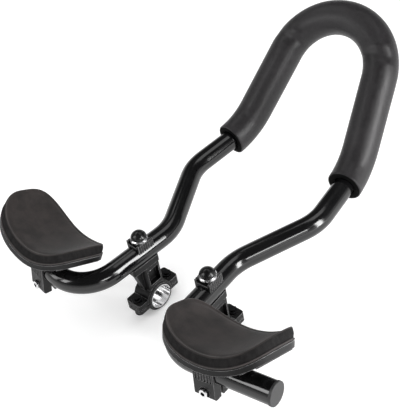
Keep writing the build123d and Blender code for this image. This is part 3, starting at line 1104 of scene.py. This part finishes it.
@dataclass
class ArmPad:
    """One half-moon foam pad, lying in its cup's trough.

    Each row of the profile is a ring's distance outside the outline, its height above the top face and
    how much it is painted paler, a painted highlight that also stands for worn nap, from the underside,
    over the hem, flank and rim, to the top. The shrink shares are those of the smaller rings that close
    the top and the underside.
    """

    side: Side
    half_length: float = 0.0554
    rear: float = 0.0348
    front: float = 0.0426
    rear_power: float = 3.1
    front_power: float = 3.2
    trough: float = 0.072
    top: float = 0.0261
    segments: int = 160
    elbow: Place = (0.0524, -0.0805, 0.060)
    tip: Place = (0.1755, -0.0638, 0.0679)
    inset: float = 0.0643
    tilt: float = math.radians(10.5)
    yaw: float = math.radians(3.0)
    turn: float = math.radians(16.8)
    cant: float = math.radians(5.4)
    shift: float = 0.0126
    forward: float = 0.0027
    profile: Tuple[Tuple[float, float, float], ...] = (
        (-0.0060, -0.0100, 0.0),
        (-0.0026, -0.0104, 0.0),
        (-0.0006, -0.0108, 0.0),
        (0.0005, -0.0106, 0.0),
        (0.0010, -0.0100, 0.1),
        (0.0010, -0.0094, 1.0),
        (0.0006, -0.0090, 0.3),
        (0.0000, -0.0087, 0.0),
        (-0.0001, -0.0078, 0.0),
        (0.0000, -0.0056, 0.0),
        (-0.0006, -0.0030, 0.0),
        (-0.0011, -0.0014, 0.0),
        (-0.0016, -0.0005, 0.0),
        (-0.0020, -0.0001, 1.0),
        (-0.0024, -0.0001, 0.2),
        (-0.0028, -0.0002, 0.0),
        (-0.0035, -0.0004, 0.0),
        (-0.0042, -0.0006, 0.0),
        (-0.0050, -0.0004, 0.0),
        (-0.0062, 0.0000, 0.0),
        (-0.0085, 0.0003, 0.0),
    )
    flank_rows: Tuple[int, int] = (8, 11)
    rub_layer: str = "rim_highlight_and_wear"
    turn_layer: str = "turn"
    shrink: Tuple[float, ...] = (0.82, 0.70, 0.57, 0.44, 0.31, 0.18, 0.08)

    def seat(self) -> Matrix:
        """Repeats the cup's turns and shifts on the bar's turned-out end.

        Returns:
            The change from the cup's own frame to the part's.
        """
        flare = (Vector(self.tip) - Vector(self.elbow)).normalized()
        up = (Vector(UP) - flare * flare.z).normalized()
        axes = Matrix((flare, up.cross(flare), up)).transposed().to_4x4()
        place = Matrix.Translation(Vector(self.tip) - flare * self.inset) @ axes
        turned = Matrix.Rotation(-self.tilt, 4, "X") @ Matrix.Rotation(-self.yaw, 4, "Z")
        turned = turned @ Matrix.Rotation(-self.turn, 4, "X")
        turned = turned @ Matrix.Rotation(-self.cant, 4, "Y")
        return self.side.mirror @ place @ turned @ Matrix.Translation((self.shift, self.forward, 0.0))

    def point(self, angle: float, offset: float, share: float, height: float) -> Vector:
        """A point of the pad in the cup's frame.

        Args:
            angle: Direction from the pad's middle.
            offset: Distance outside the outline.
            share: Share of the way from the middle to that rim.
            height: Height above the top face.

        Returns:
            The point, bent to the trough.
        """
        along = math.cos(angle)
        across = math.sin(angle)
        power = self.front_power if across > 0 else self.rear_power
        depth = (self.front if across > 0 else self.rear) + offset
        size = share * (abs(along) ** power + abs(across) ** power) ** (-1 / power)
        u = (self.half_length + offset) * along * size
        v = depth * across * size
        reach = self.trough - height
        return Vector((u, v, self.top + self.trough - math.sqrt(reach**2 - u**2)))

    def settle(self, ring: Ring, turn: Any, offset: float, share: float, height: float) -> None:
        """Moves a ring's points to their place on the pad.

        Args:
            ring: The ring of edges.
            turn: The vertex layer with each point's direction.
            offset: Distance outside the outline.
            share: Share of the way from the middle to that rim.
            height: Height above the top face.
        """
        for vert in ring_points(ring):
            vert.co = self.point(vert[turn], offset, share, height)

    def rimmed(self, bm: bmesh.types.BMesh, ring: Ring, turn: Any, rim_highlight_and_wear: Any) -> Ring:
        """Grows the profile's rings, from the underside over the hem and flank to the top.

        Args:
            bm: The mesh under construction.
            ring: The first ring, not yet in place.
            turn: The vertex layer with each point's direction.
            rim_highlight_and_wear: The vertex layer that marks where the rim is painted paler, a painted
                highlight that also stands for worn nap.

        Returns:
            The last ring, on the top.
        """
        for index, (offset, height, worn) in enumerate(self.profile):
            known = set(bm.faces)
            ring = grown(bm, ring) if index else ring
            for face in set(bm.faces) - known:
                # Flank rows take the second finish, whose darker colour is painted shade on the pad's
                # sides.
                face.material_index = int(self.flank_rows[0] <= index <= self.flank_rows[1])
            self.settle(ring, turn, offset, 1.0, height)
            for vert in ring_points(ring):
                vert[rim_highlight_and_wear] = worn
        return ring

    def covered(self, bm: bmesh.types.BMesh, ring: Ring, turn: Any, row: Sequence[float]) -> None:
        """Closes the pad over a ring, with smaller rings and a point in the middle.

        Args:
            bm: The mesh under construction.
            ring: The ring to close.
            turn: The vertex layer with each point's direction.
            row: The ring's row of the profile.
        """
        known = set(bm.faces)
        offset, height, _ = row
        for share in self.shrink:
            ring = grown(bm, ring)
            self.settle(ring, turn, offset, share, height)
        middle = self.point(0.0, offset, 0.0, height)
        bmesh.ops.pointmerge(bm, verts=ring_points(grown(bm, ring)), merge_co=middle)
        for face in set(bm.faces) - known:
            face.material_index = 0

    def build(self) -> bpy.types.Object:
        """Grows the pad ring by ring and lays it in its cup.

        Returns:
            The finished piece.
        """
        bm = bmesh.new()
        bmesh.ops.create_circle(bm, segments=self.segments, radius=1.0)
        rim_highlight_and_wear = bm.verts.layers.float.new(self.rub_layer)
        turn = bm.verts.layers.float.new(self.turn_layer)
        for vert in bm.verts:
            vert[turn] = math.atan2(vert.co.y, vert.co.x)
        sole = list(bm.edges)
        crown = self.rimmed(bm, sole, turn, rim_highlight_and_wear)
        self.covered(bm, crown, turn, self.profile[-1])
        self.covered(bm, sole, turn, self.profile[0])
        bm.verts.layers.float.remove(bm.verts.layers.float[self.turn_layer])
        bmesh.ops.transform(bm, matrix=self.seat(), verts=bm.verts)
        return finished_piece(bm, f"{self.side.word}_pad_moulding")

    def dressed(self, wardrobe: Wardrobe) -> bpy.types.Object:
        """Builds the pad, dresses it and puts it in its solid's place.

        Args:
            wardrobe: Where the finishes come from.

        Returns:
            The dressed piece.
        """
        piece = self.build()
        wardrobe.dress(piece, Finish.pad_foam, Finish.pad_flank)
        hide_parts(f"{self.side.word}_arm_pad")
        return piece


@dataclass(frozen=True)
class Lamp:
    """One softbox that faces the bar's middle."""

    name: str
    direction: Place
    distance: float
    width: float
    height: float
    radiance: float

    def build(self, target: Vector) -> None:
        """Hangs the softbox.

        Args:
            target: The point it faces.
        """
        light = bpy.data.lights.new(self.name, "AREA")
        light.shape = "RECTANGLE"
        light.size = self.width
        light.size_y = self.height
        light.energy = self.radiance * math.pi * self.width * self.height
        obj = bpy.data.objects.new(self.name, light)
        away = Vector(self.direction).normalized()
        facing = away.to_track_quat("Z", "Y").to_matrix().to_4x4()
        obj.matrix_world = Matrix.Translation(target + away * self.distance) @ facing
        bpy.context.scene.collection.objects.link(obj)


@dataclass
class Studio:
    """Camera, lamps, world and floor."""

    azimuth: float = math.radians(49.0)
    elevation: float = math.radians(40.3)
    roll: float = math.radians(-11.0)
    distance: float = 0.828
    target: Place = (0.0029, 0.0455, 0.1130)
    lens: float = 75.18
    sensor: float = 36.0
    nearest: float = 0.01
    floor_height: float = -0.0175
    floor_half: float = 4.0
    floor_cells: int = 2
    floor_paper: Colour = (0.9, 0.9, 0.9)
    floor_glow: float = 0.24
    mirrored_span: Span = (0.0, 0.42, 0.85, 0.06)
    ambient_span: Span = (-0.1, 1.0, 0.08, 0.95)
    lamps: Tuple[Lamp, ...] = (
        Lamp("rear_softbox", (-0.24, -0.80, 0.55), 1.25, 0.24, 0.5, 5.5),
        Lamp("rear_fill", (-0.52, -0.69, 0.50), 1.25, 0.28, 0.8, 3.4),
        Lamp("right_softbox", (0.93, 0.24, 0.27), 1.25, 0.26, 0.95, 16.0),
        Lamp("right_fill", (0.92, -0.33, 0.20), 1.25, 0.5, 0.5, 1.2),
        Lamp("right_strip", (0.878, -0.252, 0.405), 1.25, 0.40, 0.16, 11.0),
        Lamp("left_softbox", (-0.57, 0.05, 0.82), 1.3, 0.9, 0.36, 1.75),
        Lamp("top_softbox", (0.02, 0.42, 0.906), 1.35, 0.7, 0.4, 1.3),
    )

    def camera(self) -> None:
        """Sets the camera at the photograph's viewing angle."""
        east = math.cos(self.azimuth)
        north = math.sin(self.azimuth)
        level = math.cos(self.elevation)
        back = Vector((north * level, -east * level, math.sin(self.elevation)))
        right = Vector((east, north, 0.0))
        up = back.cross(right)
        lean = math.cos(self.roll)
        side = math.sin(self.roll)
        axes = Matrix((right * lean + up * side, up * lean - right * side, back)).transposed().to_4x4()
        data = bpy.data.cameras.new("camera")
        data.sensor_fit = "VERTICAL"
        data.sensor_height = self.sensor
        data.lens = self.lens
        data.clip_start = self.nearest
        obj = bpy.data.objects.new("camera", data)
        obj.matrix_world = Matrix.Translation(Vector(self.target) + back * self.distance) @ axes
        bpy.context.scene.collection.objects.link(obj)
        bpy.context.scene.camera = obj

    def world(self) -> None:
        """White for the camera, white at the horizon and dark above for reflections, dim for the rest."""
        world = bpy.data.worlds.new("studio")
        bpy.context.scene.world = world
        tree = Tree(world)
        path = tree.node("LightPath")
        height = tree.node("SeparateXYZ", None, {0: tree.node("TexCoord")["Generated"]})["Z"]
        mirrored_ray = path["Is Glossy Ray"].larger(path["Is Transmission Ray"])
        strength = path["Is Camera Ray"] + mirrored_ray * height.ramp(*self.mirrored_span)
        strength = strength.larger(path["Is Diffuse Ray"] * height.ramp(*self.ambient_span))
        shade = tree.node("Background", None, {"Color": rgba(WHITE), "Strength": strength})
        tree.node("OutputWorld", None, {"Surface": shade[0]})

    def floor(self) -> None:
        """A wide pale floor that keeps the object's shadow."""
        bm = bmesh.new()
        bmesh.ops.create_grid(
            bm,
            x_segments=self.floor_cells,
            y_segments=self.floor_cells,
            size=self.floor_half,
            matrix=Matrix.Translation((0.0, 0.0, self.floor_height)),
        )
        mesh = bpy.data.meshes.new("floor")
        bm.to_mesh(mesh)
        bm.free()
        obj = bpy.data.objects.new("floor", mesh)
        bpy.context.scene.collection.objects.link(obj)
        tree = Tree.named("floor")
        paper = tree.node("BsdfDiffuse", None, {"Color": rgba(self.floor_paper)})
        seen = tree.node("LightPath")["Is Camera Ray"]
        glow = tree.node("Emission", None, {"Color": rgba(WHITE), "Strength": seen * self.floor_glow})
        both = tree.node("AddShader", None, {0: paper[0], 1: glow[0]})
        tree.node("OutputMaterial", None, {"Surface": both[0]})
        mesh.materials.append(tree.owner)

    def build(self) -> None:
        """Sets up everything round the object."""
        self.camera()
        self.world()
        self.floor()
        for lamp in self.lamps:
            lamp.build(Vector(self.target))
        bpy.context.scene.view_settings.view_transform = "Standard"


@dataclass
class AeroBar:
    """The whole object: CAD nodes dressed, soft solids replaced."""

    frame: Dict[str, Any]
    grip: FoamGrip = field(default_factory=FoamGrip)
    pads: List[ArmPad] = field(default_factory=lambda: [ArmPad(side) for side in Side])

    def build(self) -> List[bpy.types.Object]:
        """Dresses the nodes and builds the soft pieces.

        Returns:
            The pieces that show: the nodes that are left, then the soft ones.
        """
        nodes = self.frame["nodes"]
        wardrobe = Wardrobe(self.frame["record"])
        wardrobe.dress_nodes(nodes)
        soft = [form.dressed(wardrobe) for form in (self.grip, *self.pads)]
        return [obj for obj in nodes.values() if not obj.hide_render] + soft


def main() -> None:
    """Loads the frame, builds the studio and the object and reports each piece."""
    logging.basicConfig(level=logging.INFO, format="%(name)s: %(message)s")
    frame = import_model()
    Studio().build()
    for piece in AeroBar(frame).build():
        LOG.info("%s: %s, %d faces", piece.name, piece.data.materials[0].name, len(piece.data.polygons))


if __name__ == "__main__":
    main()
